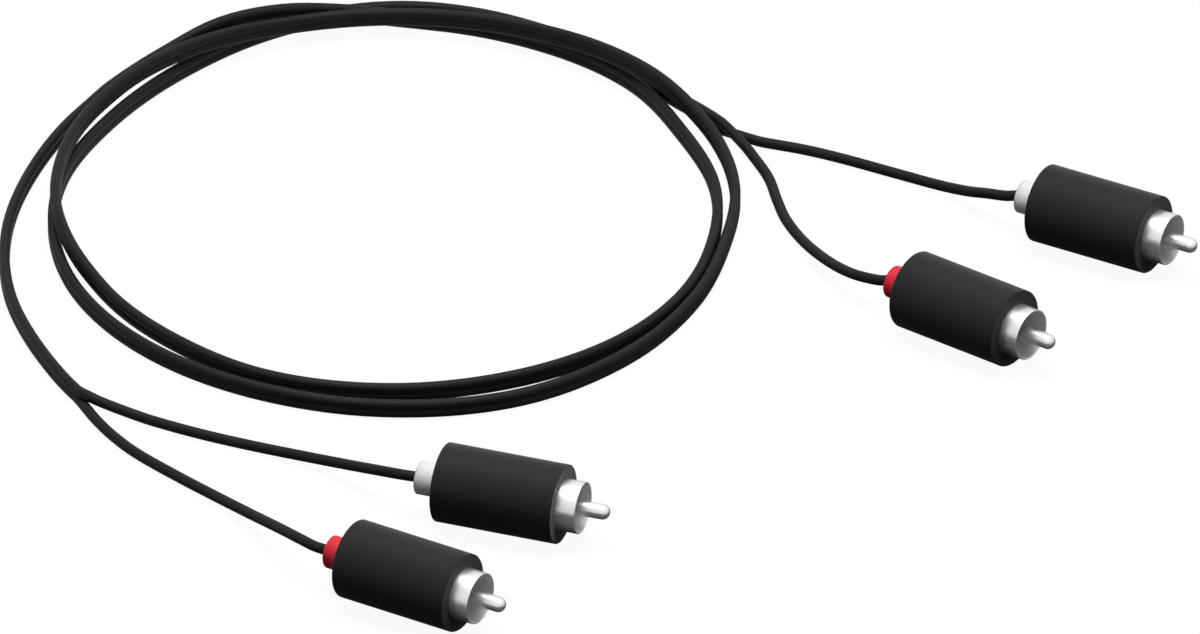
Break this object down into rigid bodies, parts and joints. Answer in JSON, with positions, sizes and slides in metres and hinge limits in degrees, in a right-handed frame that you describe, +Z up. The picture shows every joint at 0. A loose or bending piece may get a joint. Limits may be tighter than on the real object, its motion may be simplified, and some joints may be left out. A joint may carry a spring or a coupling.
{
  "type": "stereo phono cable",
  "caption": "Black twin-lead stereo audio cable in a loose coil, split at both ends into single cores with cylindrical phono plugs that carry white and red rings.",
  "frame": {"origin": "centre of the plugs' common box, on the surface that the plugs and the cord lie on", "axes": "+X along the longer side of the plugs' box, in the direction that the pins point; +Y towards the coil; +Z up"},
  "size_m": [0.222, 0.2255, 0.0148],
  "materials": {
    "housing_plastic": "matt black",
    "contact_metal": "bright nickel plate",
    "insulator_plastic": "matt dark grey",
    "copper": "tinned copper",
    "cord_jacket": "smooth black, slight sheen",
    "ring_white": "matt white",
    "ring_red": "matt red"
  },
  "bodies": {
    "root": {"right_white_housing": "housing_plastic", "right_white_collar": "contact_metal", "right_white_insulator": "insulator_plastic", "right_white_pin": "contact_metal", "right_white_ring": "ring_white", "right_white_wire": "copper", "right_white_ground_lug": "contact_metal", "right_white_core": "cord_jacket", "right_red_housing": "housing_plastic", "right_red_collar": "contact_metal", "right_red_insulator": "insulator_plastic", "right_red_pin": "contact_metal", "right_red_ring": "ring_red", "right_red_wire": "copper", "right_red_ground_lug": "contact_metal", "right_red_core": "cord_jacket", "left_white_housing": "housing_plastic", "left_white_collar": "contact_metal", "left_white_insulator": "insulator_plastic", "left_white_pin": "contact_metal", "left_white_ring": "ring_white", "left_white_wire": "copper", "left_white_ground_lug": "contact_metal", "left_white_core": "cord_jacket", "left_red_housing": "housing_plastic", "left_red_collar": "contact_metal", "left_red_insulator": "insulator_plastic", "left_red_pin": "contact_metal", "left_red_ring": "ring_red", "left_red_wire": "copper", "left_red_ground_lug": "contact_metal", "left_red_core": "cord_jacket", "twin_lead": "cord_jacket"}
  },
  "joints": []
}
